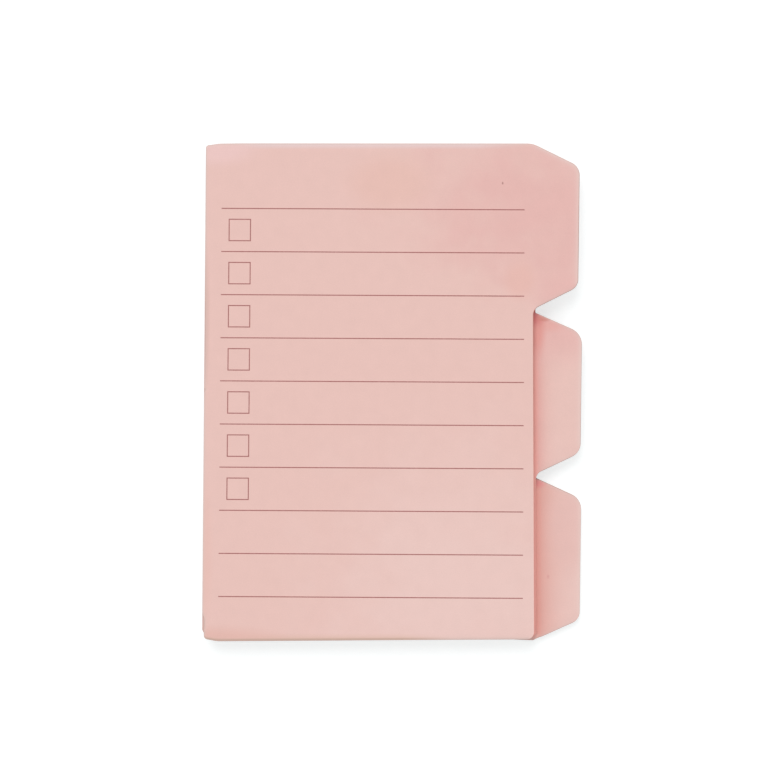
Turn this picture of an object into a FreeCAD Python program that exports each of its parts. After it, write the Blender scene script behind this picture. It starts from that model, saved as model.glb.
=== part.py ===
"""Pack of sticky index notes: three pads of tabbed sheets, stuck one on another over a backing card.

Every sheet is a plain rectangle with one tab standing out of its right edge. All the sheets of a pad
have their tab in the same third of the height: the first pad at the head, the second in the middle,
the third at the foot. The pads lie square on each other, so the three tabs show one below the other.

Units are millimetres. The pack lies flat: +Z is up through the stack, +Y points from the foot of a
sheet to its head, +X points from the gummed left edge to the tabs. The origin is the centre of the
pack's overall rectangle, on the plane that it lies on.
"""
import FreeCAD, Part
import math
import os

# ---- one sheet ----
BODY_WIDTH = 66.5           # left edge to the edge that the tab stands out of
SHEET_HEIGHT = 100.0        # foot to head
SHEET_CORNER_RADIUS = 1.2   # plain corners of the sheet
TAB_DEPTH = 9.3             # how far a tab stands out of the sheet
TAB_SLANT_DEG = 25.5        # slope of a tab's two ends, off the X axis
TAB_OUTER_RADIUS = 2.4      # rounding of a tab's two outer corners
TAB_ROOT_RADIUS = 2.0       # hollow rounding where a slanted end runs into the sheet's edge
TAB_GAP = 0.45              # along the edge, from the root of one tab to the root of the next

# ---- the stack ----
SHEETS_PER_PAD = 20
SHEET_THICKNESS = 0.095
CARD_THICKNESS = 0.3

# The pads from the top of the stack down: name, and how far the pad sits to the right.
PADS = [
    ("first_pad", 0.0),
    ("second_pad", 0.65),
    ("third_pad", 0.7),
]

LAST_PAD = len(PADS) - 1
PAD_THICKNESS = SHEETS_PER_PAD * SHEET_THICKNESS
TAB_ROOT_HEIGHT = (SHEET_HEIGHT - LAST_PAD * TAB_GAP) / len(PADS)
PACK_WIDTH = BODY_WIDTH + TAB_DEPTH + max(shift for name, shift in PADS)


def rounded_wire(corners):
    """Closed wire through corners (x, y, radius), each rounded by an arc tangent to both its sides."""
    points = [FreeCAD.Vector(x, y, 0) for x, y, radius in corners]
    arcs, starts, ends = [], [], []
    for i, (x, y, radius) in enumerate(corners):
        to_last = (points[i - 1] - points[i]).normalize()
        to_next = (points[(i + 1) % len(points)] - points[i]).normalize()
        half_angle = to_last.getAngle(to_next) / 2
        tangent_length = radius / math.tan(half_angle)
        corner_to_arc = radius / math.sin(half_angle) - radius
        starts.append(points[i] + to_last * tangent_length)
        ends.append(points[i] + to_next * tangent_length)
        middle = points[i] + (to_last + to_next).normalize() * corner_to_arc
        arcs.append(Part.Arc(starts[i], middle, ends[i]).toShape())
    edges = []
    for i, arc in enumerate(arcs):
        next_start = starts[(i + 1) % len(starts)]
        edges += [arc, Part.LineSegment(ends[i], next_start).toShape()]
    return Part.Wire(edges)


def sheet_corners(tab_index):
    """Corners of a sheet, anticlockwise from the foot of its left edge. Tab 0 is the one at the head."""
    root_top = SHEET_HEIGHT - tab_index * (TAB_ROOT_HEIGHT + TAB_GAP)
    root_bottom = root_top - TAB_ROOT_HEIGHT
    slant_rise = TAB_DEPTH * math.tan(math.radians(TAB_SLANT_DEG))
    tab_edge = BODY_WIDTH + TAB_DEPTH
    # The head tab runs into the sheet's head corner and the foot tab into its foot corner.
    lower_root = [] if tab_index == LAST_PAD else [(BODY_WIDTH, root_bottom, TAB_ROOT_RADIUS)]
    upper_root = [] if tab_index == 0 else [(BODY_WIDTH, root_top, TAB_ROOT_RADIUS)]
    return [
        (0.0, 0.0, SHEET_CORNER_RADIUS),
        (BODY_WIDTH, 0.0, SHEET_CORNER_RADIUS),
        *lower_root,
        (tab_edge, root_bottom + slant_rise, TAB_OUTER_RADIUS),
        (tab_edge, root_top - slant_rise, TAB_OUTER_RADIUS),
        *upper_root,
        (BODY_WIDTH, SHEET_HEIGHT, SHEET_CORNER_RADIUS),
        (0.0, SHEET_HEIGHT, SHEET_CORNER_RADIUS),
    ]


def sheet_block(tab_index, shift, bottom, thickness):
    """Sheets of one outline stacked up to a thickness, as one solid in the pack's own frame."""
    outline = Part.Face(rounded_wire(sheet_corners(tab_index)))
    block = outline.extrude(FreeCAD.Vector(0, 0, thickness))
    block.translate(FreeCAD.Vector(shift - PACK_WIDTH / 2, -SHEET_HEIGHT / 2, bottom))
    return block


def build_pack():
    """The pieces by name: the card, cut to the third pad's outline, and the three pads above it."""
    card_shift = PADS[LAST_PAD][1]
    pieces = {"backing_card": sheet_block(LAST_PAD, card_shift, 0.0, CARD_THICKNESS)}
    for index, (name, shift) in enumerate(PADS):
        bottom = CARD_THICKNESS + (LAST_PAD - index) * PAD_THICKNESS
        pieces[name] = sheet_block(index, shift, bottom, PAD_THICKNESS)
    return pieces


os.makedirs("parts", exist_ok=True)
for node, shape in build_pack().items():
    shape.exportStep("parts/" + node + ".step")
    print("%-13s %9.2f mm3, valid: %s" % (node, shape.Volume, shape.isValid()))
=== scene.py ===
# %% [markdown]
# # A pack of sticky index notes
#
# Three pads of pink notes lie one on another over a thin card. Every sheet is die-cut with one tab on
# its right edge, and each pad has its tab in its own third of the height, so the tabs show one
# below the other. The top sheet is printed with ten rules and seven boxes to tick.
#
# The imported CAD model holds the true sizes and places. This notebook adds what the eye sees: the
# edges of the single sheets, the print, the paper, the light and the camera. Lengths are in metres,
# +X points to the tabs, +Y to the head of the sheets and +Z up through the stack.

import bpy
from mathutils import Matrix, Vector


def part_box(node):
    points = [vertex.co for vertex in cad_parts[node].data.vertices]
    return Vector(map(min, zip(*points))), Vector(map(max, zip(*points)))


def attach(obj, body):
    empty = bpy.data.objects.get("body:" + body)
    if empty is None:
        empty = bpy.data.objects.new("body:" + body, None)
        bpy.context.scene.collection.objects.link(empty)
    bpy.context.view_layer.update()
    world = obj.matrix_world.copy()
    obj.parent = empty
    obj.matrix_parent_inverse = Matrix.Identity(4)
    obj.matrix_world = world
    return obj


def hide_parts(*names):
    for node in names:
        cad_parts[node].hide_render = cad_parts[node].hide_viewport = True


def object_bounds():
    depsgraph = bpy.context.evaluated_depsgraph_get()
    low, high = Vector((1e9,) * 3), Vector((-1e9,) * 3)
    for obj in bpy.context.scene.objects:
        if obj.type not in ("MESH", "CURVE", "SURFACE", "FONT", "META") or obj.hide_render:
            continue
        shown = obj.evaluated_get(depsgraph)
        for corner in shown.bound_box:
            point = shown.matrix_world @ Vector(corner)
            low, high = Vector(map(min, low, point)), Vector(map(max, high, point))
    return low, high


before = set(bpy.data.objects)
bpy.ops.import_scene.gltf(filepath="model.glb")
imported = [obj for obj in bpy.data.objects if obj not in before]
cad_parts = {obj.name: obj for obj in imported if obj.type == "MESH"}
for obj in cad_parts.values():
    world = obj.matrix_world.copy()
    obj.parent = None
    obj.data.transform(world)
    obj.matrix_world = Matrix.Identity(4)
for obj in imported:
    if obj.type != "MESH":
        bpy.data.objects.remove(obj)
cad_low, cad_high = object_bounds()
print("CAD nodes:", sorted(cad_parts))

# %% Tools, and the millimetre
import math

import bpy
import numpy as np

MM = 0.001
print("CAD size in mm:", [round(side / MM, 2) for side in cad_high - cad_low])

# %% [markdown]
# ## The outline of a sheet
#
# A sheet is a rectangle with small round corners and one tab with slanted ends. A drawing program
# would trace it with curves and bevel the corners. Here it is worked out from its corners and their
# radii, as a die maker would do it, because the same outline then serves all sheets of all pads.

# %% Sizes of the die
TAB_DEPTH = 9.3 * MM
TAB_GAP = 0.45 * MM
TAB_OUTER_RADIUS = 2.4 * MM
LOWER_ROOT_RADIUS = 2.0 * MM
SHEET_CORNER_RADIUS = 1.2 * MM
SHEETS_PER_PAD = 20
# Two corners are cut otherwise than in the CAD model: a tab's upper root is nearly sharp, and the head
# runs into the first tab in a wide curve.
UPPER_ROOT_RADIUS = 0.4 * MM
HEAD_CORNER_RADIUS = 5 * MM
print("A tab stands out by", round(TAB_DEPTH / MM, 2), "mm")

# %% The corners of a sheet
PAD_NAMES = ["first_pad", "second_pad", "third_pad"]
LAST_PAD = len(PAD_NAMES) - 1
# Each pad was cut by its own die, and no two are quite alike. One row for a pad: how steep its tab's
# lower and upper ends are, in degrees off the X axis, then in mm how far its tab's outer edge, lower
# root, upper root and the edge beside the tab are from where they should be, and how much more its
# tab's lower and upper outer corners are rounded.
TAB_CUTS = [
    (25.9, 27.0, -0.10, -0.31, 0.09, 0.0, 0.0, 0.2),
    (24.7, 24.2, -0.27, -0.12, -0.58, -0.15, 0.4, 0.9),
    (23.3, 24.75, -0.46, -0.27, -0.60, -0.24, 0.0, 0.6),
]
TAB_LEAN = 0.39 * MM      # a tab's upper corner stands out this much more than its lower one
# Both corners on the left were cut askew. Each row: how far from the left edge, how far in from the
# head or the foot, and the rounding, in mm. The foot corner also steps in from the edge.
ASKEW_HEAD = np.array([(7.0, 0.0, 20.0), (2.6, 0.05, 5.0), (0.0, 0.42, 0.45)]) * MM
ASKEW_FOOT = np.array([(0.0, 2.1, 1.3), (0.33, 1.62, 0.25), (0.33, 0.48, 0.85), (2.9, 0.0, 6.0)]) * MM
# The last pad's foot runs down to the corner before its tab.
LAST_FOOT = np.array([(57.0, 0.0, 20.0), (65.85, -0.46, 0.4)]) * MM


def sheet_corners(pad, width, height):
    """Corners (x, y, radius) of a sheet, anticlockwise from the foot of its left edge at (0, 0)."""
    lower_slant, upper_slant, outward_shift, lower_shift, upper_shift, body_shift = TAB_CUTS[pad][:6]
    lower_radius, upper_radius = (TAB_OUTER_RADIUS + more * MM for more in TAB_CUTS[pad][6:])
    root_height = (height - LAST_PAD * TAB_GAP) / len(PAD_NAMES)
    root_top = height - pad * (root_height + TAB_GAP) + upper_shift * MM
    root_bottom = height - pad * (root_height + TAB_GAP) - root_height + lower_shift * MM
    edge = width + outward_shift * MM
    lower_rise = TAB_DEPTH * math.tan(math.radians(lower_slant))
    upper_drop = TAB_DEPTH * math.tan(math.radians(upper_slant))
    body = width - TAB_DEPTH + body_shift * MM
    foot_right = LAST_FOOT if pad == LAST_PAD else [(body, 0, SHEET_CORNER_RADIUS)]
    lower_root = [] if pad == LAST_PAD else [(body, root_bottom, LOWER_ROOT_RADIUS)]
    upper_root = [] if pad == 0 else [(body, root_top, UPPER_ROOT_RADIUS)]
    return np.array([
        *ASKEW_FOOT,
        *foot_right,
        *lower_root,
        (edge - TAB_LEAN / 2, root_bottom + lower_rise, lower_radius),
        (edge + TAB_LEAN / 2, root_top - upper_drop, upper_radius),
        *upper_root,
        (body, height, HEAD_CORNER_RADIUS),
        *(ASKEW_HEAD * (1, -1, 1) + (0, height, 0)),
    ])


for pad, name in enumerate(PAD_NAMES):
    low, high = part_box(name)
    print(name, "has", len(sheet_corners(pad, high.x - low.x, high.y - low.y)), "corners")

# %% Points on a straight side
SIDE_STEP = 1.1 * MM       # from one to the next
NEAR_SIDE = 0.5 * MM       # a fine place this near to a side lies on it
END_CLEARANCE = 0.02 * MM  # no point comes nearer than this to a side's end
FINE_STEPS = np.linspace(-1.5, 1.5, 17)     # round a fine place, in its reaches


def side_points(start, end, fine_places):
    """Points on a straight side, less its two ends: one for each step, and more, close together,
    around each of the fine places, rows (x, y, reach), that lies on it."""
    length = np.linalg.norm(end - start)
    along = (end - start) / length
    stations = [np.linspace(0, length, int(length / SIDE_STEP) + 3)]
    for x, y, reach in fine_places:
        offset = np.array((x, y)) - start
        if abs(offset[0] * along[1] - offset[1] * along[0]) < NEAR_SIDE:
            stations.append(offset @ along + reach * FINE_STEPS)
    stations = np.unique(np.concatenate(stations).round(6))     # to a micrometre
    inside = (stations > END_CLEARANCE) & (stations < length - END_CLEARANCE)
    return start + stations[inside, None] * along


sample_side = side_points(np.zeros(2), np.array((10 * MM, 0)), [])
print("A side of 10 mm has", len(sample_side), "points between its ends")

# %% From corners to a smooth outline
ARC_POINTS = 9


def unit(vectors):
    """Each row divided by its own length."""
    return vectors / np.linalg.norm(vectors, axis=-1, keepdims=True)


def rounded_outline(corners, fine_places=()):
    """Points round a closed outline whose corners are rows (x, y, radius).

    At a corner whose half angle is a, an arc of radius r starts and ends r / tan(a) from the corner,
    and its centre lies r / sin(a) away on the line that halves the corner. The arc's angle runs
    evenly from start to end, and straight sides join each arc to the next."""
    tips, radii = corners[:, :2], corners[:, 2:]
    back, ahead = unit(np.roll(tips, 1, 0) - tips), unit(np.roll(tips, -1, 0) - tips)
    half = np.arccos(np.sum(back * ahead, axis=1, keepdims=True)) / 2
    starts, ends = tips + back * radii / np.tan(half), tips + ahead * radii / np.tan(half)
    centres = tips + unit(back + ahead) * radii / np.sin(half)
    first, last = starts - centres, ends - centres
    begin = np.arctan2(first[:, 1:], first[:, :1])
    sweep = (np.arctan2(last[:, 1:], last[:, :1]) - begin + np.pi) % (2 * np.pi) - np.pi
    angles = begin + sweep * np.linspace(0, 1, ARC_POINTS)
    arcs = centres[:, None] + radii[:, None] * np.stack((np.cos(angles), np.sin(angles)), axis=-1)
    sides = [side_points(end, start, fine_places) for end, start in zip(ends, np.roll(starts, -1, 0))]
    return np.concatenate([points for pair in zip(arcs, sides) for points in pair])


def outward(points):
    """Unit normals of a closed anticlockwise outline: the chord between each point's two neighbours,
    turned a quarter clockwise."""
    along = np.roll(points, -1, 0) - np.roll(points, 1, 0)
    return unit(np.stack((along[:, 1], -along[:, 0]), axis=1))


sample_outline = rounded_outline(sheet_corners(0, high.x - low.x, high.y - low.y))
print("The first pad's outline has", len(sample_outline), "points")

# %% [markdown]
# ## Small faults of cutting and handling
#
# No real pack is perfectly square. This one is a millimetre wider at the foot than at the head, its
# left edge has a nick, and near the foot-left corner the top sheets have drawn back, so that the
# edges of those below show. A bilinear shift of the four corners makes it out of square, and each
# dent is a smooth push inwards around one point. Both move the outline itself, as the step that the
# knife left in that corner does, so the faults are true geometry and look right from every side.

# %% Out of square
# Where each corner of the sheet really is, less where the drawing has it: (x, y) in mm.
FOOT_LEFT, FOOT_RIGHT = (-0.02, 0.04), (0.16, 0.43)
HEAD_LEFT, HEAD_RIGHT = (0.79, -0.08), (-0.19, -0.10)


def out_of_square(points, size, faults):
    """Moves points of a rectangle by the faults of its four corners, weighted bilinearly: with u and v
    the shares of the width and height, (1-u)(1-v), u(1-v), (1-u)v and uv. Beyond the right edge, on
    the tabs, u stays 1, so a tab moves with the edge that it stands out of."""
    u, v = np.clip(points[:, :1] / size[0], 0, 1), points[:, 1:] / size[1]
    weights = np.stack(((1 - u) * (1 - v), u * (1 - v), (1 - u) * v, u * v))
    return points + np.sum(weights * np.array(faults)[:, None] * MM, axis=0)


SHEET_FAULTS = (FOOT_LEFT, FOOT_RIGHT, HEAD_LEFT, HEAD_RIGHT)
print("Wider at the foot by", round(FOOT_RIGHT[0] - FOOT_LEFT[0] + HEAD_LEFT[0] - HEAD_RIGHT[0], 2), "mm")

# %% Dents
WHOLE_STACK = len(PAD_NAMES) * SHEETS_PER_PAD
# Each row: x and y on the sheet, depth and reach in mm, and how many sheets from the top have it.
DENTS = np.array([
    (0.0, 50.5, 0.16, 0.35, 3),    # nick in the left edge
    (0.0, 62.0, 0.17, 11.0, 5),    # the top sheets, drawn back above the nick
    (0.0, 3.5, 0.42, 1.75, 3),     # and again near the foot
    (66.5, 0.2, 0.09, 0.9, WHOLE_STACK),     # foot corner on the right, knocked in
])


def dent_depths(points, dents, sheets_below_top):
    """How far each point is pushed in, for each ring of points.

    Sum over the dents of depth times exp(-(d / reach)^4), where d is the distance from the dent,
    for the rings that are among the sheets that have it. The result has one row for a ring."""
    distance = np.linalg.norm(points[None] - dents[:, None, :2] * MM, axis=-1)
    push = dents[:, 2:3] * MM * np.exp(-((distance / (dents[:, 3:4] * MM)) ** 4))
    has_it = sheets_below_top[:, None] < dents[None, :, 4]
    return has_it.astype(float) @ push


print(len(DENTS), "dents")

# %% [markdown]
# ## How high the paper lies
#
# A pad isn't a block. Its rim dips where the knife pressed the sheets together, and the last tenth of
# a millimetre rolls over. Its free corners rise a little, because only the left edge is gummed,
# and the sheets are faintly wavy. All of it fades out from the top sheet down. One height function
# serves the sheets and the print that lies on them, so the ink follows the paper.

# %% The dip of the rim
RIM_DIP, RIM_DIP_WIDTH = 0.12 * MM, 0.45 * MM
RIGHT_RISE = 1.5     # the right edge isn't gummed: it rises half as much as the others dip
ROLL_OFF, ROLL_WIDTH = 0.10 * MM, 0.13 * MM     # the knife's burr: the last stretch bends down
FOOT_ROLL_LOSS = 0.5     # at the foot it bends down less by this share
# Powers of a sheet's share of the pad's height: the higher, the fewer top sheets it holds for.
DIP_FADE, WAVE_FADE, ROLL_FADE, LIFT_FADE = 2, 4, 8, 9


def rim_dip(rightward, footward, share, from_rim):
    """How much lower the paper lies at the rim: the dip and the roll, each times exp(-distance from the
    rim / its width) and a power of the share, and less where an edge faces right or the foot."""
    dip = RIM_DIP * (1 - RIGHT_RISE * rightward) * share**DIP_FADE * np.exp(-from_rim / RIM_DIP_WIDTH)
    roll = ROLL_OFF * (1 - rightward) * (1 - FOOT_ROLL_LOSS * footward) * share**ROLL_FADE
    return dip + roll * np.exp(-from_rim / ROLL_WIDTH)


print("The rim dips by", RIM_DIP / MM, "mm and rolls over by another", ROLL_OFF / MM, "mm")

# %% The height function
# What rises at a pad's free places, as (height, reach).
TAB_LIFT, FOOT_RIGHT_LIFT, FOOT_LEFT_LIFT = (0.10 * MM, 6 * MM), (0.10 * MM, 7 * MM), (0.08 * MM, 5 * MM)
WAVE_HEIGHT = 0.012 * MM
# Rows (turns per mm across, turns per mm up, phase in radians).
WAVES = np.array([(1 / 61, 1 / 83, 0.3), (1 / 47, -1 / 59, 1.9), (-1 / 93, 1 / 39, 4.1)])


def rise(x, y, share, lifts):
    """Height of the paper above its even place, at share 0 (the pad's underside) to 1 (its top sheet).

    Sum over lifts (x, y, height, reach) of height times exp(-(d / reach)^2), plus three crossing
    sine waves, each times a power of the share."""
    total = np.zeros(np.broadcast(x, share).shape)
    for lift_x, lift_y, height, reach in lifts:
        squared = (x - lift_x) ** 2 + (y - lift_y) ** 2
        total = total + height * np.exp(-squared / reach**2) * share**LIFT_FADE
    for across, up, phase in WAVES:
        wave = np.sin(2 * np.pi * (across * x + up * y) / MM + phase)
        total = total + WAVE_HEIGHT * wave * share**WAVE_FADE
    return total


def pad_lifts(pad, low, high):
    """The free places of a pad that rise, as rows (x, y, height, reach): the middle of its tab's
    outer edge, and on the first pad the two foot corners too."""
    tab_middle = high.y - (pad + 0.5) * (high.y - low.y) / len(PAD_NAMES)
    lifts = [(high.x, tab_middle, *TAB_LIFT)]
    if pad == 0:
        lifts += [(high.x - TAB_DEPTH, low.y, *FOOT_RIGHT_LIFT), (low.x, low.y, *FOOT_LEFT_LIFT)]
    return lifts


first_low, first_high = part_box("first_pad")
first_lifts = pad_lifts(0, first_low, first_high)
print("The first pad rises at", len(first_lifts), "places")

# %% [markdown]
# ## The pads
#
# Each pad is twenty sheets, held together by the gum. It could be twenty boxes, or a block with lines
# painted on its sides. Boxes would be sixty pieces of what is handled as three, and lines alone
# leave a rim as straight as a ruler. So a pad is one closed surface: rings of the outline run from
# the middle of the underside out to the rim, up the rim in and out of the groove between each two
# sheets, and over the top face to its middle. The surface is a function of two parameters, the
# place round the outline and the ring.

# %% The rings of a pad
GROOVE_DEPTH = 0.22 * MM
GROOVE_SPREAD = (0.6, 1.5)         # the shallowest and deepest groove, as shares of that depth
GAP_SPREAD = (0.04, 0.13)          # the parts of a sheet's height that go to a groove
LIP = 0.008 * MM
CUT_EDGE_PLACES = (0.3, 0.7)       # heights of the two rings on a sheet's cut edge
FACE_INSETS = np.array([0.03, 0.1, 0.2, 0.35]) * MM     # the last is deeper than the deepest groove
FACE_CROWDING = 1.6                # above 1, a face's rings lie closer near the rim
TOP_RINGS, UNDERSIDE_RINGS = 34, 8


def rim_profile(rng):
    """Rows (height in sheets, inset, sheet) up a pad's rim.

    Every sheet has five rings: the groove below it, its lower lip, two rings of its cut edge and its
    upper lip. A random part of each sheet's height goes to the groove, so some gaps are wider."""
    sheet = np.arange(SHEETS_PER_PAD)
    gap = rng.uniform(*GAP_SPREAD, SHEETS_PER_PAD + 1)
    groove = GROOVE_DEPTH * rng.uniform(*GROOVE_SPREAD, SHEETS_PER_PAD)
    even = np.zeros(SHEETS_PER_PAD)
    cut_edge = [sheet + place for place in CUT_EDGE_PLACES]
    heights = np.stack((sheet, sheet + gap[:-1], *cut_edge, sheet + 1 - gap[1:]), axis=1)
    insets = np.stack((groove, even + LIP, even, even, even + LIP), axis=1)
    return np.stack((heights, insets, np.repeat(sheet[:, None], 5, axis=1)), axis=-1).reshape(-1, 3)


def all_rings(rng):
    """Rows (height in sheets, inset, sheet, scale) from the middle of the underside to the middle of
    the top. The faces' last rings shrink towards a middle point by their scale."""
    rim = rim_profile(rng)
    rim = np.column_stack((rim, np.ones(len(rim))))

    def face(height, sheet, ring_count):
        """A face's rings from the rim inwards: first by insets, then by scales 1 - t^crowding, with t
        even steps from 0 to 1."""
        scales = 1 - np.linspace(0, 1, ring_count + 2)[1:-1] ** FACE_CROWDING
        insets = np.concatenate((FACE_INSETS, np.full(ring_count, FACE_INSETS[-1])))
        scales = np.concatenate((np.ones(len(FACE_INSETS)), scales))
        return np.column_stack((np.full(len(insets), height), insets, np.full(len(insets), sheet), scales))

    under = face(0, 0, UNDERSIDE_RINGS)
    under = under[under[:, 1] > rim[0, 1]][::-1]
    over = face(SHEETS_PER_PAD, SHEETS_PER_PAD - 1, TOP_RINGS)
    return np.concatenate((under, rim, over)), len(under), len(under) + len(rim)


sample_rings, _, _ = all_rings(np.random.default_rng(1))
print("A pad has", len(sample_rings), "rings")

# %% How the sheets lie on each other
WANDER, SHEET_WANDER, SHEET_TURN = 0.016 * MM, 0.018 * MM, 0.00025


def sheet_places(rng):
    """Shift (x, y) and turn of each sheet of a pad against its top sheet: a random walk, so that
    neighbours stay near each other, plus a little of each sheet's own."""
    walk = np.cumsum(rng.normal(0, WANDER, (SHEETS_PER_PAD, 2)), axis=0)
    shift = walk + rng.normal(0, SHEET_WANDER, (SHEETS_PER_PAD, 2))
    turn = rng.normal(0, SHEET_TURN, SHEETS_PER_PAD)
    return shift - shift[-1], turn - turn[-1]


sample_shift, _ = sheet_places(np.random.default_rng(1))
print("Sheets lie up to", round(float(np.abs(sample_shift).max()) / MM, 3), "mm off the top sheet")

# %% Dust, painted highlight and painted shade
DUST_WIDTH = 0.22 * MM       # how far in from the rim the dust reaches
HIGHLIGHT_SHARE, HIGHLIGHT_WIDTH = 0.6, 0.4 * MM     # how strong the rim's painted highlight is, and how far in it reaches
RIGHT_DUST_LOSS, SLANT_DUST_LOSS = 0.5, 0.9     # shares of dust missing where an edge faces right
BESIDE_TABS = 0.6 * MM       # a point less far past the sheet's edge than this is beside the tabs
OPEN_RIGHT, SHUT_FOOT = 2, 3     # the painted highlight is strongest on what faces right, and least on what faces the foot
# Full and clear distances past the sheet's edge: where a pad above keeps dust off a tab's upper end,
# and where the cut edges are painted coral, part of the painted shade beside the tabs. The last is a
# limit on how far an edge faces the foot.
DUST_SHELTER, CORAL_SHADE_REACH, CORAL_TURN = (1.0 * MM, 4.0 * MM), (0.6 * MM, 1.4 * MM), (0.7, 0.9)


def fades(value, full, clear):
    """1 up to full and 0 from clear on, on a straight slope between them."""
    return np.clip((clear - value) / (clear - full), 0, 1)


def rim_marks(pad, rightward, footward, past_edge, from_rim):
    """How dusty each point is, and how strong its painted highlight and its cut edge's painted coral
    are, from 0 to 1, as arrays [ring, place].

    Dust and the painted highlight are a strength at the rim times exp(-distance from the rim / width).
    Dust is missing beside the tabs and on the upper ends of the lower tabs, which lie under the pad
    above. It is thinner on what faces right, most of all on the tabs' lower ends. The painted highlight
    lies on the tabs' outer edges and the first tab's upper end. The painted coral, part of the painted
    shade beside the tabs, is as strong as an edge faces the tabs, and it runs out within a millimetre
    and a half past the sheet's edge."""
    beside_tabs = rightward * (past_edge < BESIDE_TABS)
    under_wall = (pad > 0) * (1 - footward) * rightward * fades(past_edge, *DUST_SHELTER)
    open_air = (1 - beside_tabs) * (1 - under_wall)
    dust = open_air * (1 - RIGHT_DUST_LOSS * rightward) * (1 - SLANT_DUST_LOSS * rightward * footward)
    # The painted highlight on the tabs' outer edges and the first tab's upper end.
    open_to_light = np.clip(OPEN_RIGHT * rightward - SHUT_FOOT * footward - (pad > 0), 0, 1)
    highlight_strength = (1 - beside_tabs) * open_to_light * HIGHLIGHT_SHARE
    # The painted coral of the cut edges beside the tabs, part of the painted shade there.
    painted_coral_share = rightward * fades(footward, *CORAL_TURN) * fades(past_edge, *CORAL_SHADE_REACH)
    return {"rim_dust": dust * np.exp(-from_rim / DUST_WIDTH),
            "rim_painted_highlight": highlight_strength * np.exp(-from_rim / HIGHLIGHT_WIDTH),
            "painted_coral_edge": np.broadcast_to(painted_coral_share, from_rim.shape)}


print("Dust reaches", DUST_WIDTH / MM, "mm in from the rim")

# %% The surface of a pad
KNIFE_LEAN = 0.10 * MM     # how far the lowest sheet stands out past the top one
RIGHT_LEAN_LOSS = 0.3      # the right side leans less by this share, and what faces the foot even less
# Points that every part of the sheet can be seen from, as shares of the sheet: the faces' middles.
FACE_MIDDLES = [(0.53, 0.75), (0.53, 0.5), (0.53, 0.25)]


def pad_points(pad, low, high, rng):
    """Every point of a pad's surface, as an array [ring, place round the outline, xyz], its marks, and
    the first and last ring of the rim.

    A point is the outline's point, less its normal times the ring's inset and the dents, turned and
    shifted as its sheet is, then drawn towards the face's middle by the ring's scale. Its height
    is the ring's height, less the rim's dip, plus the rise of the paper there."""
    size = (high.x - low.x, high.y - low.y)
    drawn = rounded_outline(sheet_corners(pad, *size), DENTS[:, [0, 1, 3]] * MM)
    outline = out_of_square(drawn, (size[0] - TAB_DEPTH, size[1]), SHEET_FAULTS)
    normals = outward(outline)
    # How far each point's edge faces right and faces the foot, from 0 to 1.
    rightward, footward = np.clip(normals[:, 0], 0, 1), np.clip(-normals[:, 1], 0, 1)
    rings, rim_start, rim_end = all_rings(rng)
    height, inset, sheet, scale = (column[:, None] for column in rings.T)
    sheet = sheet[:, 0].astype(int)
    share = height / SHEETS_PER_PAD

    below_top = (pad + 1) * SHEETS_PER_PAD - 1 - sheet
    lean = KNIFE_LEAN * (1 - rightward * (RIGHT_LEAN_LOSS + footward))
    push = inset - lean * (1 - share) + dent_depths(drawn, DENTS, below_top)
    flat = outline[None] - normals[None] * push[:, :, None]

    shift, turn = sheet_places(rng)
    angle = turn[sheet][:, None]
    off_centre = flat - np.array(size) / 2
    turned = np.stack((-off_centre[..., 1], off_centre[..., 0]), axis=-1)
    flat = flat + turned * angle[..., None] + shift[sheet][:, None]

    middle = np.array(FACE_MIDDLES[pad]) * size
    from_rim = inset + (1 - scale) * np.sum((flat - middle) * normals, axis=-1)
    flat = middle + (flat - middle) * scale[..., None]
    x, y = flat[..., 0] + low.x, flat[..., 1] + low.y
    dip = rim_dip(rightward, footward, share, from_rim)
    z = low.z + share * (high.z - low.z) - dip + rise(x, y, share, pad_lifts(pad, low, high))

    marks = rim_marks(pad, rightward, footward, outline[:, 0] - (size[0] - TAB_DEPTH), from_rim)
    return np.stack((x, y, z), axis=-1), marks, rim_start, rim_end


sample_points, _, _, _ = pad_points(0, first_low, first_high, np.random.default_rng(1))
print("Points on the first pad:", sample_points.shape[0] * sample_points.shape[1])

# %% The texture map of a pad
MAP_SPAN = 160 * MM     # how much paper one side of the texture map holds
MAP_MARGIN = 0.01
RIM_SHARE = 0.33        # the rim's strip is the lowest third of the map
FACES_UP = 0.36         # the faces begin a little above it, the top in the left half of the map
TOP_FACE, UNDERSIDE = np.array(((MAP_MARGIN, FACES_UP), (MAP_MARGIN + 0.5, FACES_UP)))


def cell_corners(grid):
    """The four corners of each cell of a grid [row, column, ...], in order round the cell."""
    return np.stack((grid[:-1, :-1], grid[:-1, 1:], grid[1:, 1:], grid[1:, :-1]), axis=2)


def pad_map(points, low, rim_start, rim_end):
    """Texture map places of each cell's corners: the rim is a strip, unrolled along the outline, and
    above it lie the top face and the underside, flat and side by side at their true shape."""
    closed = np.concatenate((points, points[:, :1]), axis=1)
    face = (closed[..., :2] - np.array(low[:2])) / MAP_SPAN
    steps = np.linalg.norm(np.diff(closed[rim_end - 1, :, :2], axis=0), axis=1)
    along = np.concatenate(([0], np.cumsum(steps))) / steps.sum()
    up = np.linspace(0, 1, rim_end - rim_start)
    strip = np.stack(np.meshgrid(along, up), axis=-1) * np.array((1 - 2 * MAP_MARGIN, RIM_SHARE - MAP_MARGIN))
    under = cell_corners(face[: rim_start + 1] + UNDERSIDE)
    rim = cell_corners(strip + MAP_MARGIN / 2)
    over = cell_corners(face[rim_end - 1 :] + TOP_FACE)
    return np.concatenate((under, rim, over)).reshape(-1, 4, 2), face[0] + UNDERSIDE, face[-1] + TOP_FACE


print("One side of a pad's texture map holds", MAP_SPAN / MM, "mm of paper")

# %% From a grid of points to a closed mesh
SHARP_ANGLE = math.radians(40)      # edges that turn by more than this are shaded as sharp


def at_middle(points):
    """The middle of a ring of points."""
    return points.mean(axis=0, keepdims=True)


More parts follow.
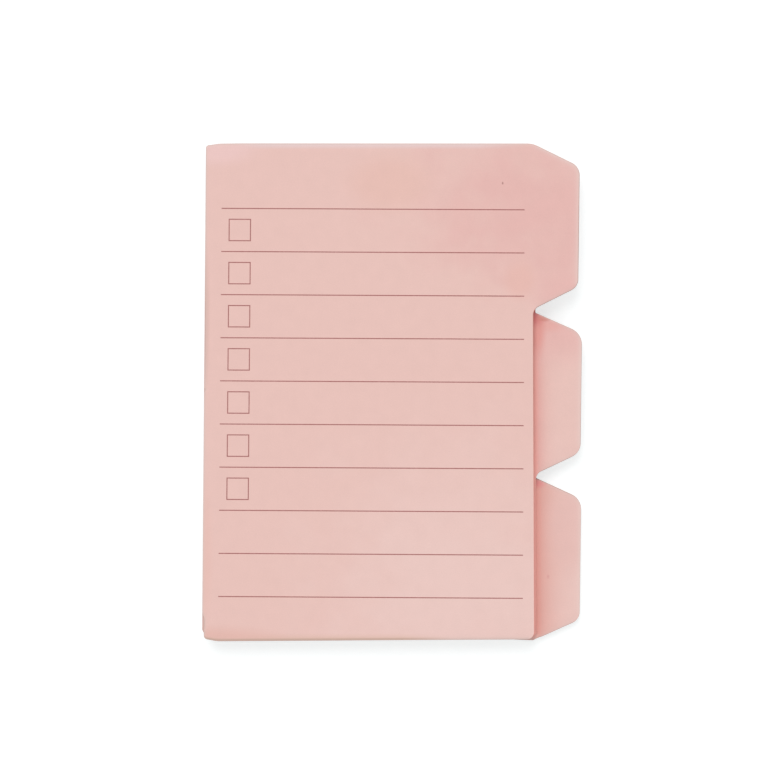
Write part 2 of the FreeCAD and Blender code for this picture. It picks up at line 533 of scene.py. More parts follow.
def pad_mesh(name, points, marks, low, rim_start, rim_end):
    """A closed mesh from rings of points, with a point at each end to close it, its texture map,
    material 1 on the cut edges, and each mark as an attribute of its points."""
    rings, places = points.shape[:2]
    number = np.arange(rings * places).reshape(rings, places)
    number = np.concatenate((number, number[:, :1]), axis=1)
    under_pole, over_pole = rings * places, rings * places + 1
    quads = cell_corners(number).reshape(-1, 4)
    under_fan = np.stack((np.full(places, under_pole), number[0, 1:], number[0, :-1]), axis=1)
    over_fan = np.stack((number[-1, :-1], number[-1, 1:], np.full(places, over_pole)), axis=1)

    mesh = bpy.data.meshes.new(name)
    vertices = np.concatenate((points.reshape(-1, 3), at_middle(points[0]), at_middle(points[-1])))
    mesh.from_pydata(vertices.tolist(), [], quads.tolist() + under_fan.tolist() + over_fan.tolist())

    quad_map, under_map, over_map = pad_map(points, low, rim_start, rim_end)
    under_middle = np.broadcast_to(under_map[:-1].mean(axis=0), (places, 2))
    over_middle = np.broadcast_to(over_map[:-1].mean(axis=0), (places, 2))
    under_tri = np.stack((under_middle, under_map[1:], under_map[:-1]), axis=1)
    over_tri = np.stack((over_map[:-1], over_map[1:], over_middle), axis=1)
    places_on_map = np.concatenate([part.reshape(-1, 2) for part in (quad_map, under_tri, over_tri)])
    mesh.uv_layers.new(name="OFBake").data.foreach_set("uv", places_on_map.ravel())

    ring_of_quad = np.repeat(np.arange(rings - 1), places)
    cut_edge = (ring_of_quad >= rim_start) & (ring_of_quad < rim_end)
    slots = np.concatenate((cut_edge.astype(int), np.zeros(2 * places, int)))
    mesh.polygons.foreach_set("material_index", slots)
    mesh.polygons.foreach_set("use_smooth", np.ones(len(slots), bool))
    for mark, amounts in marks.items():
        at_points = mesh.attributes.new(mark, "FLOAT", "POINT").data
        at_points.foreach_set("value", np.append(amounts.ravel(), (0, 0)))
    mesh.set_sharp_from_angle(angle=SHARP_ANGLE)
    return mesh


print("Edges that turn by more than", round(math.degrees(SHARP_ANGLE)), "degrees are sharp")

# %% Make the three pads
RANDOM_SEED = 20     # of the first pad; each further pad adds one


def add_piece(name, mesh, *replaced):
    """Puts a mesh into the scene as a piece that rides on the pack's one body."""
    piece = bpy.data.objects.new(name, mesh)
    bpy.context.scene.collection.objects.link(piece)
    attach(piece, "root")
    if replaced:
        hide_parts(*replaced)
    return piece


pads = []
for pad, name in enumerate(PAD_NAMES):
    low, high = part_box(name)
    rng = np.random.default_rng(RANDOM_SEED + pad)
    points, marks, rim_start, rim_end = pad_points(pad, low, high, rng)
    mesh = pad_mesh(name + "_sheets", points, marks, low, rim_start, rim_end)
    piece = add_piece(name + "_sheets", mesh, name)
    pads.append(piece)
    print(piece.name, "has", len(piece.data.polygons), "faces")

# %% [markdown]
# ## The backing card
#
# A card covers the gum of the last sheet. It is cut together with the last pad, so it has the same
# outline, faults and all. It could be that pad's underside in another colour, but it is a piece of
# its own, and its edge stands back a little and is rounded where the knife crushed it. It is made
# as a pad is, from rings of the outline, only with one sheet.

# %% The backing card's shape
CARD_LIP = 0.06 * MM      # rounding of its edges
CARD_BACK = 0.05 * MM     # how far its edge lies behind the pad's
LIP_RINGS = 4


def card_points(low, high):
    """The card, as an array [ring, place round the outline, xyz]: the third pad's outline, pulled in by
    each ring's inset and drawn towards the face's middle by its scale. At a lip both inset and height
    turn a quarter: inset is radius times (1 - sin) and height radius times (1 - cos). The upper half
    is the lower one's mirror image."""
    size = (high.x - low.x, high.y - low.y)
    drawn = rounded_outline(sheet_corners(LAST_PAD, *size))
    outline = out_of_square(drawn, (size[0] - TAB_DEPTH, size[1]), SHEET_FAULTS)

    quarter = np.linspace(0, np.pi / 2, LIP_RINGS)
    inset = np.concatenate((np.ones(UNDERSIDE_RINGS), 1 - np.sin(quarter))) * CARD_LIP + CARD_BACK
    raised = np.concatenate((np.zeros(UNDERSIDE_RINGS), 1 - np.cos(quarter))) * CARD_LIP
    scale = np.concatenate((np.linspace(0, 1, UNDERSIDE_RINGS + 2)[1:-1], np.ones(LIP_RINGS)))
    inset, scale = (np.concatenate((half, half[::-1]))[:, None, None] for half in (inset, scale))
    height = np.concatenate((low.z + raised, high.z - raised[::-1]))

    middle = np.array(FACE_MIDDLES[LAST_PAD]) * size
    flat = middle + (outline - outward(outline) * inset - middle) * scale
    z = np.broadcast_to(height[:, None], flat.shape[:2])
    points = np.stack((flat[..., 0] + low.x, flat[..., 1] + low.y, z), axis=-1)
    return points, UNDERSIDE_RINGS, len(points) - UNDERSIDE_RINGS


low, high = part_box("backing_card")
points, rim_start, rim_end = card_points(low, high)
mesh = pad_mesh("backing_card_sheet", points, {}, low, rim_start, rim_end)
card = add_piece("backing_card_sheet", mesh, "backing_card")
print(card.name, "has", len(card.data.polygons), "faces")

# %% [markdown]
# ## The print
#
# Ten thin rules and seven boxes to tick are printed in one ink. They could be drawn in the paper's
# material, but a texture blurs a line a fifth of a millimetre wide. Offset ink is a film on the
# paper, so each line is a very thin closed strip: its section is a low trapezoid whose foot is sunk
# in the sheet, carried along the line and lifted with the height function.

# %% Sizes of the print
RULE_COUNT, BOX_COUNT = 10, 7
RULE_PITCH = 8.666 * MM
FIRST_RULE = 13.20 * MM      # from the head of the sheet down to the first rule
RULE_MARGIN = 3.25 * MM      # from the left edge to the start of the rules
RULE_LENGTH = 61.12 * MM
STROKE = 0.2 * MM
BOX_SIDE = 4.50 * MM         # outer side
BOX_MARGIN = 1.46 * MM       # from the start of a rule to a box
INK_PROUD, INK_SUNK = 0.006 * MM, 0.012 * MM
# Where each corner of the printed field really is, less where the drawing has it: (x, y) in mm.
PRINT_FAULTS = ((-0.08, 0.25), (-0.03, -0.17), (0.80, 0.155), (0.45, -0.155))


def top_height(x, y):
    """Height of the first pad's top face, away from its rim."""
    return first_high.z + rise(x, y, np.ones_like(x), first_lifts)


def printed(points):
    """Places on the drawing of a sheet, moved as the print is out of square, in the pack's frame."""
    size = (first_high.x - first_low.x - TAB_DEPTH, first_high.y - first_low.y)
    return out_of_square(points, size, PRINT_FAULTS) + np.array(first_low[:2])


print("The print is", RULE_LENGTH / MM, "mm wide")

# %% Strips of ink
def ink_strip(left, right, closed):
    """Vertices and faces of one strip of ink between two edges, given as rows of points.

    The section at each place is a trapezoid of four points: sunk and proud on the left edge, proud and
    sunk on the right one. A closed strip joins its end to its start, an open one has end faces."""
    edges = np.stack((left, left, right, right), axis=1)
    x, y = edges[..., 0], edges[..., 1]
    above = np.array((-INK_SUNK, INK_PROUD, INK_PROUD, -INK_SUNK))
    vertices = np.stack((x, y, top_height(x, y) + above), axis=-1)
    number = np.arange(len(left) * 4).reshape(-1, 4)
    rows = np.concatenate((number, number[:1])) if closed else number
    faces = cell_corners(np.concatenate((rows, rows[:, :1]), axis=1)).reshape(-1, 4).tolist()
    if not closed:
        faces += [number[0].tolist(), number[-1, ::-1].tolist()]
    return vertices.reshape(-1, 3), faces


def ink_piece(name, strips):
    """One piece from several strips of ink."""
    vertices, faces, count = [], [], 0
    for points, strip_faces in strips:
        vertices.append(points)
        faces += [[corner + count for corner in face] for face in strip_faces]
        count += len(points)
    mesh = bpy.data.meshes.new(name)
    mesh.from_pydata(np.concatenate(vertices).tolist(), [], faces)
    piece = add_piece(name, mesh)
    print(name, "has", len(strips), "strips and", len(faces), "faces")
    return piece


print("The ink stands", INK_PROUD / MM, "mm above the paper")

# %% The rules
RULE_PLACES = 40
sheet_height = first_high.y - first_low.y


def rule_strip(row):
    """The rule in that row: two parallel lines, half a stroke above and below the rule's own."""
    x = np.linspace(RULE_MARGIN, RULE_MARGIN + RULE_LENGTH, RULE_PLACES)
    y = np.full(RULE_PLACES, sheet_height - FIRST_RULE - row * RULE_PITCH)
    upper, lower = np.stack((x, y + STROKE / 2), axis=1), np.stack((x, y - STROKE / 2), axis=1)
    return ink_strip(printed(upper), printed(lower), closed=False)


printed_rules = ink_piece("printed_rules", [rule_strip(row) for row in range(RULE_COUNT)])

# %% The boxes
BOX_PLACES = 16     # places along each side


def box_strip(row):
    """The box between a rule and the next: the unit square's outline times half the outer side, and
    times half the inner side."""
    share = np.linspace(-1, 1, BOX_PLACES, endpoint=False)
    one = np.ones(BOX_PLACES)
    square = np.concatenate([np.stack(side, axis=1) for side in
                             ((share, -one), (one, share), (-share, one), (-one, -share))])
    middle = np.array((RULE_MARGIN + BOX_MARGIN + BOX_SIDE / 2,
                       sheet_height - FIRST_RULE - (row + 0.5) * RULE_PITCH))
    inner, outer = (middle + square * (BOX_SIDE / 2 - width) for width in (STROKE, 0.0))
    return ink_strip(printed(inner), printed(outer), closed=True)


tick_boxes = ink_piece("tick_boxes", [box_strip(row) for row in range(BOX_COUNT)])

# %% [markdown]
# ## Materials
#
# A colour is written as the eye sees it on a screen, as sRGB hex, and turned to linear light by one
# function. One more function adds a node to a material with its settings and links. With these two
# a material reads like a recipe: where the pattern lies, what it does, and where it goes. All of
# this pack is matt, so its materials also share their last step.

# %% Colours and nodes
MIX_FACTOR, MIX_A, MIX_B = 0, 6, 7     # inputs of a Mix node that mixes colours
CELLULOSE_IOR = 1.5


def linear(hex_colour):
    """sRGB hex to linear RGBA: c / 12.92 for dark values, else ((c + 0.055) / 1.055)^2.4."""
    values = [int(hex_colour[i : i + 2], 16) / 255 for i in (1, 3, 5)]
    return [c / 12.92 if c <= 0.04045 else ((c + 0.055) / 1.055) ** 2.4 for c in values] + [1.0]


def add(tree, kind, inputs=None, **settings):
    """Adds a node. settings are its properties, and inputs gives each socket its value or its link,
    which is another node's output or, for its first output in use, that node itself."""
    node = tree.nodes.new("ShaderNode" + kind)
    for name, value in settings.items():
        setattr(node, name, value)
    for name, value in (inputs or {}).items():
        if isinstance(value, bpy.types.Node):
            value = next(output for output in value.outputs if output.enabled)
        if isinstance(value, bpy.types.NodeSocket):
            tree.links.new(value, node.inputs[name])
        else:
            node.inputs[name].default_value = value
    return node


def new_material(name):
    """An empty material, its node tree and its object's own coordinates."""
    material = bpy.data.materials.new(name)
    material.use_nodes = True
    material.node_tree.nodes.clear()
    tree = material.node_tree
    return material, tree, add(tree, "TexCoord").outputs["Object"]


def matt_surface(tree, colour, grain, roughness, relief=None):
    """Ends a material of paper, card or ink. Its roughness runs between two values with the grain, a
    noise. Where relief (strength, distance) is given, the grain also stands up as a bump."""
    rough = add(tree, "MapRange", {"Value": grain, "To Min": roughness[0], "To Max": roughness[1]})
    sockets = {"Base Color": colour, "Roughness": rough, "IOR": CELLULOSE_IOR}
    if relief:
        sockets["Normal"] = add(tree, "Bump", {"Strength": relief[0], "Distance": relief[1], "Height": grain})
    add(tree, "OutputMaterial", {"Surface": add(tree, "BsdfPrincipled", sockets)})


print("Middle grey in linear light:", [round(c, 3) for c in linear("#808080")])

# %% [markdown]
# ### The notes' paper
#
# It is uncoated wood-free paper dyed in the pulp, about 80 grams a square metre. The dye sits
# unevenly: there are soft clouds a few millimetres wide, called formation, and fine fibres. The
# head-right part is a deeper pink, and the foot is paler. A painted highlight lies along the head and
# on the tabs' outer edges. Painted shade lies along the foot and, in a deeper coral, beside the pads
# above the tabs. Dust has greyed the rim. One image would hold all this, but patterns worked out
# from the place on the sheet stay sharp at any size. Uncoated paper has no gloss, only a faint sheen
# at a grazing angle, so its roughness is high and its IOR is that of cellulose.

# %% Patterns: spots, bands and painted shade beside the pads above
WIDE, SMALL = (0.1, 1.0), (0.4, 1.3)     # where a wide field and a small spot are full and clear
THROUGH = 100 * MM                       # a size upwards that takes in the whole stack
BAND_RUN_OUT = 10 * MM


def soft_spot(tree, place, middle, size, full, clear):
    """1 round a place and 0 far from it, from full to clear in distances that are shares of the spot's
    size (x, y, z): a ball squeezed into that size, with smooth sides."""
    off = add(tree, "VectorMath", {0: place, 1: middle}, operation="SUBTRACT")
    squeezed = add(tree, "VectorMath", {0: off, 1: size}, operation="DIVIDE")
    distance = add(tree, "VectorMath", {0: squeezed}, operation="LENGTH")
    return add(tree, "MapRange", {"Value": distance, "From Min": full, "From Max": clear,
                                  "To Min": 1.0, "To Max": 0.0}, interpolation_type="SMOOTHSTEP")


def band(tree, place, inner, edge, band_end):
    """How strong a band along the head or the foot is: rising from 0 to 1 between the heights inner
    and edge, and running out over the last stretch before its end."""
    across_up = add(tree, "SeparateXYZ", {"Vector": place}).outputs
    near = add(tree, "MapRange", {"Value": across_up["Y"], "From Min": inner, "From Max": edge})
    along = add(tree, "MapRange", {"Value": across_up["X"], "From Min": band_end,
                                   "From Max": band_end - BAND_RUN_OUT})
    return add(tree, "Math", {0: near, 1: along}, operation="MULTIPLY")


def wall_shade_strength(tree, place, start, end, power):
    """How strong the painted shade is beside the pad above: t to that power, with t falling from 1 to 0
    between start and end, in distances from that pad's edge."""
    across = add(tree, "SeparateXYZ", {"Vector": place}).outputs["X"]
    wall = first_high.x - TAB_DEPTH
    near = add(tree, "MapRange", {"Value": across, "From Min": wall + end * MM,
                                  "From Max": wall + start * MM})
    return add(tree, "Math", {0: near, 1: power}, operation="POWER")


print("A band runs out over", BAND_RUN_OUT / MM, "mm")

# %% The colour of a sheet
PAPER_PINK, DEEPER_PINK, PALER_PINK = "#E7C1B9", "#E4B6B0", "#E9C7C0"
# Painted highlight along the head, and painted shade along the foot.
HEAD_PAINTED_HIGHLIGHT, FOOT_PAINTED_SHADE = "#E6D0D2", "#E0BAAA"
CLOUD_SIZE, CLOUD_SHIFT = 9 * MM, (50 * MM, 30 * MM, 0.0)     # they make the fields' sides ragged
NOISE_MIDDLE = (0.5, 0.5, 0.5)
# Fields of the whole sheet, as rows (colour, middle, size).
FIELDS = [
    (PALER_PINK, (14 * MM, cad_low.y + 5 * MM, 0), (42 * MM, 50 * MM, THROUGH)),
    (DEEPER_PINK, (cad_high.x - 4 * MM, cad_high.y - 12 * MM, 0), (44 * MM, 24 * MM, THROUGH)),
]
# Bands along the head and the foot, as rows (colour, height of the inner side, height of the edge,
# how far to the right): a painted highlight where the head's rim bends towards the lamp, and painted
# shade where the foot's rim bends away. The first ends before the tab, the second past the middle.
FOOT_BAND_END = 12 * MM
BANDS = [
    (HEAD_PAINTED_HIGHLIGHT, cad_high.y - 1.2 * MM, cad_high.y, 27 * MM),
    (FOOT_PAINTED_SHADE, cad_low.y + 1.7 * MM, cad_low.y, FOOT_BAND_END),
]


def sheet_layers(tree, place):
    """The layers (strength, tint) of every sheet: its fields, with the place moved about by clouds so
    that their sides are ragged, and its bands of painted highlight and painted shade."""
    clouds = add(tree, "TexNoise", {"Vector": place, "Scale": 1 / CLOUD_SIZE, "Detail": 4.0,
                                    "Roughness": 0.6})
    ragged = add(tree, "VectorMath", {0: clouds.outputs["Color"], 1: NOISE_MIDDLE}, operation="SUBTRACT")
    moved = add(tree, "VectorMath", {0: ragged, 1: CLOUD_SHIFT, 2: place}, operation="MULTIPLY_ADD")
    fields = [(soft_spot(tree, moved, middle, size, *WIDE), tint) for tint, middle, size in FIELDS]
    return fields + [(band(tree, place, *reach), tint) for tint, *reach in BANDS]


print(len(FIELDS), "fields and", len(BANDS), "bands")

# %% Mottling, and the rim's dust and painted light
NOISE_LOW, NOISE_HIGH = 0.3, 0.7     # most of a noise's values lie between these
# The rim's painted highlight, its dust, and its line of painted shade at the foot.
TAB_PAINTED_HIGHLIGHT, RIM_DUST, RIM_PAINTED_SHADE = "#EFD8D2", "#D6BFB8", "#CAA99A"
# The line of painted shade by the strength of the dust: none below the first, full between the
# middle two and none above the last. Above the foot it is full up to one height and gone at the other.
LINE_END, LINE_IN, LINE_OUT, LINE_START = 0.06, 0.30, 0.45, 0.85
LINE_FULL, LINE_CLEAR = 0.6 * MM, 1.2 * MM


def mottled(tree, place, colour, size, strength):
    """A colour made lighter and darker by noise of that size, by up to the strength either way."""
    noise = add(tree, "TexNoise", {"Vector": place, "Scale": 1 / size, "Detail": 4.0})
    level = add(tree, "MapRange", {"Value": noise, "From Min": NOISE_LOW, "From Max": NOISE_HIGH,
                                   "To Min": 1 - strength, "To Max": 1 + strength})
    return add(tree, "Mix", {MIX_FACTOR: 1.0, MIX_A: colour, MIX_B: level},
               data_type="RGBA", blend_type="MULTIPLY")


def rim_dust_and_painted_light(tree, place, colour):
    """The colour with the rim's painted highlight over it, then its dust, then a line of painted shade.
    The painted shade is a thin brown line on the left half of the foot, a little behind the rim, where
    the rim rounds away from the lamp."""
    highlight_strength, dust = (add(tree, "Attribute", attribute_name=mark).outputs["Fac"]
                   for mark in ("rim_painted_highlight", "rim_dust"))
    reached = add(tree, "MapRange", {"Value": dust, "From Min": LINE_END, "From Max": LINE_IN})
    left_behind = add(tree, "MapRange", {"Value": dust, "From Min": LINE_START, "From Max": LINE_OUT})
    line = add(tree, "Math", {0: reached, 1: left_behind}, operation="MULTIPLY")
    foot = band(tree, place, cad_low.y + LINE_CLEAR, cad_low.y + LINE_FULL, FOOT_BAND_END)
    darkened = add(tree, "Math", {0: line, 1: foot}, operation="MULTIPLY")
    # painted highlight, then dust, then painted shade
    for strength, tint in ((highlight_strength, TAB_PAINTED_HIGHLIGHT), (dust, RIM_DUST), (darkened, RIM_PAINTED_SHADE)):
        colour = add(tree, "Mix", {MIX_FACTOR: strength, MIX_A: colour, MIX_B: linear(tint)},
                     data_type="RGBA")
    return colour


print("The soiled line is gone", LINE_CLEAR / MM, "mm above the foot")

# %% The paper
FORMATION, FORMATION_STRENGTH = 3 * MM, 0.012
FIBRE, FIBRE_STRENGTH, FIBRE_RELIEF = 0.25 * MM, 0.02, (0.5, 0.012 * MM)
PAPER_ROUGHNESS = (0.82, 0.94)


def note_paper(name, painted_wall_shades, spots):
    """Uncoated pink note paper: tints, painted highlight and painted shade laid one over another, each
    as far as its strength says, then formation clouds, fibres drawn coarser than they are so that
    they show, and the rim's dust and painted light. Wall shades are rows (colour, start, end, power)
    of painted shade beside the pad above, and spots rows (colour, middle, size), in mm."""
    material, tree, place = new_material(name)
    layers = sheet_layers(tree, place)
    # painted shade beside the pad above
    layers += [(wall_shade_strength(tree, place, start, end, power), tint) for tint, start, end, power in painted_wall_shades]
    for tint, (x, y), (wide, high) in spots:
        spot = soft_spot(tree, place, (x * MM, y * MM, 0), (wide * MM, high * MM, THROUGH), *SMALL)
        layers.append((spot, tint))
    colour = linear(PAPER_PINK)
    for strength, tint in layers:
        colour = add(tree, "Mix", {MIX_FACTOR: strength, MIX_A: colour, MIX_B: linear(tint)},
                     data_type="RGBA")
    colour = mottled(tree, place, colour, FORMATION, FORMATION_STRENGTH)
    colour = mottled(tree, place, colour, FIBRE, FIBRE_STRENGTH)
    colour = rim_dust_and_painted_light(tree, place, colour)
    fibres = add(tree, "TexNoise", {"Vector": place, "Scale": 1 / FIBRE, "Detail": 5.0})
    matt_surface(tree, colour, fibres, PAPER_ROUGHNESS, FIBRE_RELIEF)
    return material


print("Fibres are drawn", FIBRE / MM, "mm wide")

# %% The three papers
FIRST_SPOTS = [
    ("#EBC6C2", (-36.0, 49.0), (9, 3.5)),         # painted highlight at the head's left corner
    ("#E6BDB3", (-0.5, 42.0), (9, 6)),            # cloud in the middle of the head
    ("#E6B9B0", (25.6, 22.6), (3.5, 4)),          # beside the tab's root
    ("#E7BEB5", (-38.1, -32), (2, 15)),           # deeper pink, low on the left edge
    ("#DBB4AB", (-37.9, 15.5), (1.1, 15)),        # painted shade higher up it, where the top sheets step back
    ("#E3B7AD", (-38, -50), (16, 3)),             # darker at the left end of the foot
    ("#E5B7B1", (36, 19.5), (8, 6)),              # the tab's lower end
    ("#B88883", (22.1, 42), (0.19, 0.3)),         # fleck of bark in the pulp
]
# Painted shade beside the first pad's edge, on the second pad's tab.
SECOND_WALL_SHADES = [("#E2ACA5", 0.8, 6.4, 3.5), ("#EFB2A9", 0.3, 1.2, 1.0)]
SECOND_SPOTS = [
    ("#E5B7B1", (33.5, 15.5), (12, 10)),          # the tab's upper end
    ("#E6AEA7", (31.3, 14.3), (4, 2.2)),          # painted shade along its slant
    ("#E2A199", (28.9, 13.4), (1.9, 6.4)),        # painted shade down from its root
    ("#D5807F", (28.4, 16.2), (2.4, 2.9)),        # painted shade at its root, deepest in the corner
    ("#D38C82", (30.5, 14.95), (1.6, 0.7)),       # painted shade along the slant beside it
]
# Painted shade beside the pads above, on the third pad's tab.
THIRD_WALL_SHADES = [("#DFA99F", 0.8, 10.5, 2.2), ("#EFB2A8", 0.8, 1.9, 1.0)]
THIRD_SPOTS = [
    ("#E5BDB6", (36, -27.5), (5, 9)),             # the tab's outer edge
    ("#E89C9A", (28.9, -17.9), (2.4, 1.4)),       # painted shade at the tab's root
    ("#F3C6BD", (28.2, -49.2), (1.3, 0.8)),       # painted lighter, where the painted shade beside the wall ends at the foot
    ("#DDA9A3", (31.4, -37.2), (0.3, 0.45)),      # painted shade of a small crease
]
# Every paper carries painted highlight and painted shade, and the lower pads' also painted shade beside the
# pads above.
paper_materials = [
    note_paper("note_paper_painted_light", [], FIRST_SPOTS),
    note_paper("note_paper_second_painted_light", SECOND_WALL_SHADES, SECOND_SPOTS),
    note_paper("note_paper_third_painted_light", THIRD_WALL_SHADES, THIRD_SPOTS),
]
print("Made", [material.name for material in paper_materials])

# %% [markdown]
# ### The cut edges
#
# The rim of a pad is the cut edges of twenty sheets, each a tenth of a millimetre thick. Light gets
# caught between the sheets, so a rim looks deeper in colour than the face of a sheet, with streaks
# that run along the sheets where one stands out or lies back. The sheets' own edges are modelled
# already, and finer steps would cost many faces, so the streaks are a stretched noise: it changes
# within one sheet's thickness going up, but only every few centimetres going along.

# %% Cut edges
EDGE_PINK, EDGE_SHADE = "#DDBBB2", "#CAA69E"
# Beside the tabs the edges are painted coral, part of the painted shade there: it reddens the light
# they throw onto the tabs. The coral is deeper beside the middle tab than at the foot, and turns from
# one to the other between these two heights.
EDGE_CORAL, EDGE_CORAL_FOOT, CORAL_FROM, CORAL_TO = "#DEA398", "#EEB4A9", 2 * MM, -34 * MM
STREAK_LENGTH, STREAK_HEIGHT = 40 * MM, 0.11 * MM
STREAK_FROM, STREAK_TO = 0.35, 0.7     # of the noise: no shade and full shade
FUZZ, FUZZ_RELIEF, EDGE_ROUGHNESS = 0.12 * MM, (0.6, 0.02 * MM), (0.86, 0.98)


def cut_edges():
    """Cut paper edges: streaks about one sheet thick, and painted coral beside the tabs, part of the painted
    shade there.
    """
    material, tree, place = new_material("cut_paper_edges")
    stretch = (1 / STREAK_LENGTH, 1 / STREAK_LENGTH, 1 / STREAK_HEIGHT)
    stretched = add(tree, "Mapping", {"Vector": place, "Scale": stretch})
    streaks = add(tree, "TexNoise", {"Vector": stretched, "Scale": 1.0, "Detail": 2.0})
    streaky = add(tree, "MapRange", {"Value": streaks, "From Min": STREAK_FROM, "From Max": STREAK_TO})
    up = add(tree, "SeparateXYZ", {"Vector": place}).outputs["Y"]
    footward = add(tree, "MapRange", {"Value": up, "From Min": CORAL_FROM, "From Max": CORAL_TO},
                   interpolation_type="SMOOTHSTEP")
    streaked = add(tree, "Mix", {MIX_FACTOR: streaky, MIX_A: linear(EDGE_PINK),
                                 MIX_B: linear(EDGE_SHADE)}, data_type="RGBA")
    coral = add(tree, "Mix", {MIX_FACTOR: footward, MIX_A: linear(EDGE_CORAL),
                              MIX_B: linear(EDGE_CORAL_FOOT)}, data_type="RGBA")
    # Painted coral beside the tabs, part of the painted shade there.
    coral_strength = add(tree, "Attribute", attribute_name="painted_coral_edge").outputs["Fac"]
    colour = add(tree, "Mix", {MIX_FACTOR: coral_strength, MIX_A: streaked, MIX_B: coral}, data_type="RGBA")
    fuzz = add(tree, "TexNoise", {"Vector": place, "Scale": 1 / FUZZ, "Detail": 3.0})
    matt_surface(tree, colour, fuzz, EDGE_ROUGHNESS, FUZZ_RELIEF)
    return material


cut_edge_material = cut_edges()
for piece, paper in zip(pads, paper_materials):
    piece.data.materials.append(paper)
    piece.data.materials.append(cut_edge_material)
print("Made", cut_edge_material.name)

# %% [markdown]
# ### The ink
#
# The print is offset ink in a brownish rose. On uncoated paper it soaks in, so it is matt and
# slightly uneven, thinner where the fibres stand up. One even colour would look like vinyl, so a
# fine noise thins it here and there. The film is too thin and even for a bump.

# %% Ink
INK_ROSE, INK_THIN, THIN_SIZE = "#A0605D", "#B17774", 0.5 * MM
THIN_FROM, THIN_TO = 0.45, 0.75     # of the noise: not thinned and fully thinned
INK_ROUGHNESS = (0.6, 0.8)


def printing_ink():
    """Matt offset ink, thinner in spots."""
    material, tree, place = new_material("rose_offset_ink")
    noise = add(tree, "TexNoise", {"Vector": place, "Scale": 1 / THIN_SIZE, "Detail": 4.0})
    thin = add(tree, "MapRange", {"Value": noise, "From Min": THIN_FROM, "From Max": THIN_TO})
    colour = add(tree, "Mix", {MIX_FACTOR: thin, MIX_A: linear(INK_ROSE), MIX_B: linear(INK_THIN)},
                 data_type="RGBA")
    matt_surface(tree, colour, noise, INK_ROUGHNESS)
    return material


ink_material = printing_ink()
for piece in (printed_rules, tick_boxes):
    piece.data.materials.append(ink_material)
print("Made", ink_material.name)

# %% [markdown]
# ### Off-white board
#
# The card is thin uncoated board, a little grey from recycled pulp, with sparse darker fibres. It
# could be one plain colour, but such board is never even: noise picks out the fibres, and a wider
# noise clouds it.

# %% Card
CARD_WHITE, CARD_FLECK = "#E6E0D6", "#C9BEB0"
FLECK_SIZE, CARD_CLOUD, CARD_CLOUD_STRENGTH = 0.4 * MM, 4 * MM, 0.02
FLECK_FROM, FLECK_TO = 0.58, 0.75     # of the noise: no fleck and a full one
CARD_ROUGHNESS, CARD_RELIEF = (0.8, 0.95), (0.5, 0.015 * MM)


def backing_card():
    """Uncoated off-white card with flecks, clouded."""
    material, tree, place = new_material("uncoated_backing_card")
    noise = add(tree, "TexNoise", {"Vector": place, "Scale": 1 / FLECK_SIZE, "Detail": 5.0})
    fleck = add(tree, "MapRange", {"Value": noise, "From Min": FLECK_FROM, "From Max": FLECK_TO})
    colour = add(tree, "Mix", {MIX_FACTOR: fleck, MIX_A: linear(CARD_WHITE), MIX_B: linear(CARD_FLECK)},
                 data_type="RGBA")
    colour = mottled(tree, place, colour, CARD_CLOUD, CARD_CLOUD_STRENGTH)
    matt_surface(tree, colour, noise, CARD_ROUGHNESS, CARD_RELIEF)
    return material


card_material = backing_card()
card.data.materials.append(card_material)
card.data.materials.append(card_material)
print("Made", card_material.name)

# %% [markdown]
# ## The stage
#
# The pack lies on a plain white floor in soft light. A large soft lamp stands towards the head and a
# little to the left, so the pads' edges shade the tabs below them and the foot casts a short
# shadow. The white world fills the rest. Together they light a level sheet at a strength of one, at
# which a colour renders as it is written.

# %% Lamp and world
SUN_ELEVATION, SUN_AZIMUTH, SUN_SPREAD = 59.0, 16.0, 34.0     # degrees; azimuth from +Y towards -X
SUN_SHARE = 0.35                                             # of the light on a level sheet

sun = bpy.data.lights.new("soft_lamp", "SUN")
sun.angle = math.radians(SUN_SPREAD)
sun.energy = SUN_SHARE * math.pi / math.sin(math.radians(SUN_ELEVATION))
lamp = bpy.data.objects.new("soft_lamp", sun)
lamp.rotation_euler = (math.radians(SUN_ELEVATION - 90), 0, math.radians(SUN_AZIMUTH))
bpy.context.scene.collection.objects.link(lamp)

world = bpy.data.worlds.new("white_room")
bpy.context.scene.world = world
world.use_nodes = True
world.node_tree.nodes.clear()


def seen_directly(tree):
    """1 for rays that show the surface itself: from the camera, in a reflection or through glass."""
    path = add(tree, "LightPath")
    mirror = add(tree, "Math", {0: path.outputs["Is Glossy Ray"], 1: path.outputs["Is Transmission Ray"]},
                 operation="MAXIMUM")
    return add(tree, "Math", {0: path.outputs["Is Camera Ray"], 1: mirror}, operation="MAXIMUM")


strength = add(world.node_tree, "MapRange", {"Value": seen_directly(world.node_tree),
                                             "To Min": 1 - SUN_SHARE, "To Max": 1.0})
white = add(world.node_tree, "Background", {"Color": (1, 1, 1, 1), "Strength": strength})
add(world.node_tree, "OutputWorld", {"Surface": white})
print("Lamp strength", round(sun.energy, 2), "and world strength", 1 - SUN_SHARE)

# %% The floor
FLOOR_SIDE = 6.0
FLOOR_BELOW = 0.02 * MM     # the floor lies this much lower than the card, so that they don't touch
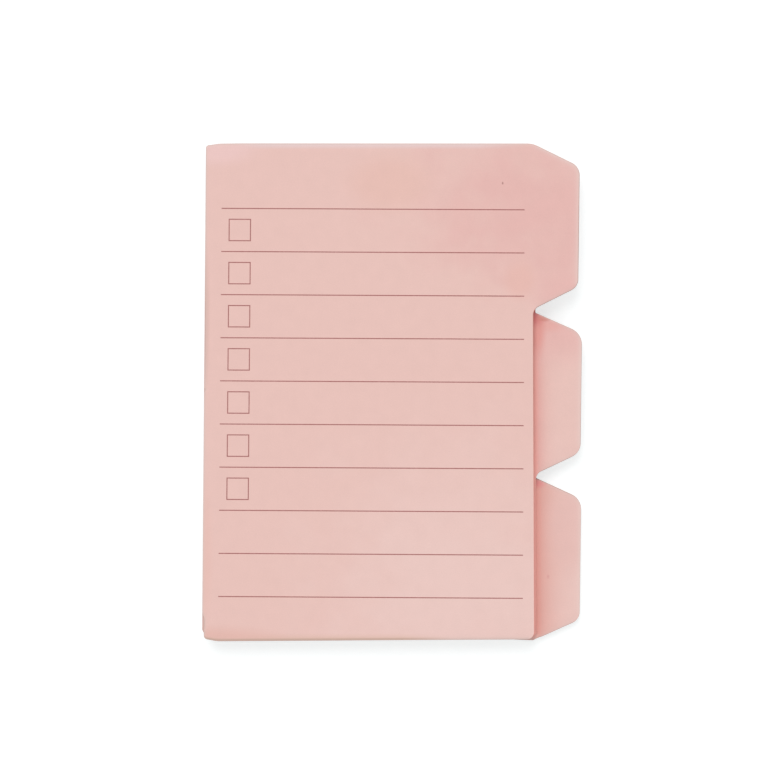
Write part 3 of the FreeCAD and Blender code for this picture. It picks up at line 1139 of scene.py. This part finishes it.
# Seen directly: a glow, plus a grey that takes the shadow. The glow is a little cool, because the pink
# edges warm the light beside them.
FLOOR_GLOW, FLOOR_SHADE = (0.615, 0.645, 0.648, 1.0), (0.48, 0.48, 0.48, 1.0)
FLOOR_WHITE = (0.9, 0.9, 0.9, 1.0)     # to the light that bounces off it


def floor_material():
    """White floor. Seen directly, its glow and its lit grey add up to more than white, so only a deep
    shadow shows. To the light that bounces off it, it is a plain white surface."""
    material, tree, _ = new_material("white_floor")
    plain = add(tree, "BsdfDiffuse", {"Color": FLOOR_WHITE})
    glow = add(tree, "Emission", {"Color": FLOOR_GLOW, "Strength": 1.0})
    shade = add(tree, "BsdfDiffuse", {"Color": FLOOR_SHADE})
    shown = add(tree, "AddShader", {0: glow, 1: shade})
    mixed = add(tree, "MixShader", {0: seen_directly(tree), 1: plain, 2: shown})
    add(tree, "OutputMaterial", {"Surface": mixed})
    return material


corner = np.array([(-1, -1, 0), (1, -1, 0), (1, 1, 0), (-1, 1, 0)]) * FLOOR_SIDE / 2
corner[:, 2] = cad_low.z - FLOOR_BELOW
floor_mesh = bpy.data.meshes.new("floor")
floor_mesh.from_pydata(corner.tolist(), [], [(0, 1, 2, 3)])
floor_mesh.materials.append(floor_material())
floor = bpy.data.objects.new("floor", floor_mesh)
bpy.context.scene.collection.objects.link(floor)
print("The floor is", FLOOR_SIDE, "m wide")

# %% [markdown]
# ## The camera
#
# It looks straight down at the pack from 0.7 m, through a long lens, so the stack's sides don't
# show. The lens is worked out from the width of paper that the view holds.

# %% Camera
VIEW_WIDTH = 156.8 * MM
CAMERA_DISTANCE = 0.7
VIEW_MIDDLE = (-0.52 * MM, 0.38 * MM)

camera_data = bpy.data.cameras.new("camera")
camera_data.lens = camera_data.sensor_width * CAMERA_DISTANCE / VIEW_WIDTH
camera = bpy.data.objects.new("camera", camera_data)
camera.location = (*VIEW_MIDDLE, cad_high.z + CAMERA_DISTANCE)
bpy.context.scene.collection.objects.link(camera)
bpy.context.scene.camera = camera
bpy.context.scene.view_settings.view_transform = "Standard"
print("Lens", round(camera_data.lens, 1), "mm")
